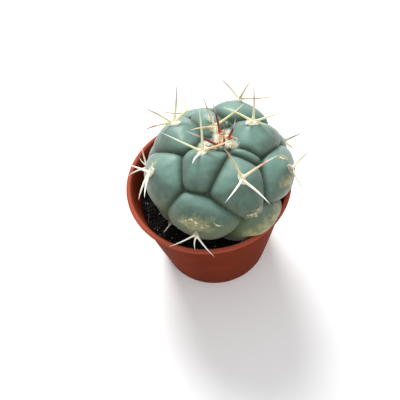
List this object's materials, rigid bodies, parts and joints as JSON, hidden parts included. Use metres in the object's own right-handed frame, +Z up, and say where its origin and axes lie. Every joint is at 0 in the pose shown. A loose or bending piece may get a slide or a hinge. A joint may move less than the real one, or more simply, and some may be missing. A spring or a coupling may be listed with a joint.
{
  "type": "potted cactus",
  "caption": "Small globe cactus with broad rounded tubercles and stout spreading spines, growing in dark potting mix in a round tapered plastic pot with a beaded rim.",
  "frame": {"origin": "middle of the pot's flat foot, where the pot stands on the surface", "axes": "+Z straight up through the middle of the pot; -Y is the front, the side that the picture shows; +X is to the right seen from the front"},
  "size_m": [0.0792, 0.0781, 0.0912],
  "materials": {
    "pot_plastic": "thin moulded polypropylene in terracotta brown, satin, a little lighter on the rim",
    "potting_mix": "damp black peat with fine fibres and small pale grit",
    "skin": "matt blue-green waxy bloom, darker in the creases, cream corky scars",
    "spine_horn": "hard dull horn, cream at the base, grey brown along, pale tip, in a pad of cream felt",
    "crown_wool": "short matted white wool"
  },
  "bodies": {
    "root": {"pot": "pot_plastic", "soil": "potting_mix", "stem": "skin", "crown": "crown_wool", "areole_01": "spine_horn", "areole_02": "spine_horn", "areole_03": "spine_horn", "areole_04": "spine_horn", "areole_05": "spine_horn", "areole_06": "spine_horn", "areole_07": "spine_horn", "areole_08": "spine_horn", "areole_09": "spine_horn", "areole_10": "spine_horn", "areole_11": "spine_horn", "areole_12": "spine_horn", "areole_13": "spine_horn"}
  },
  "joints": []
}
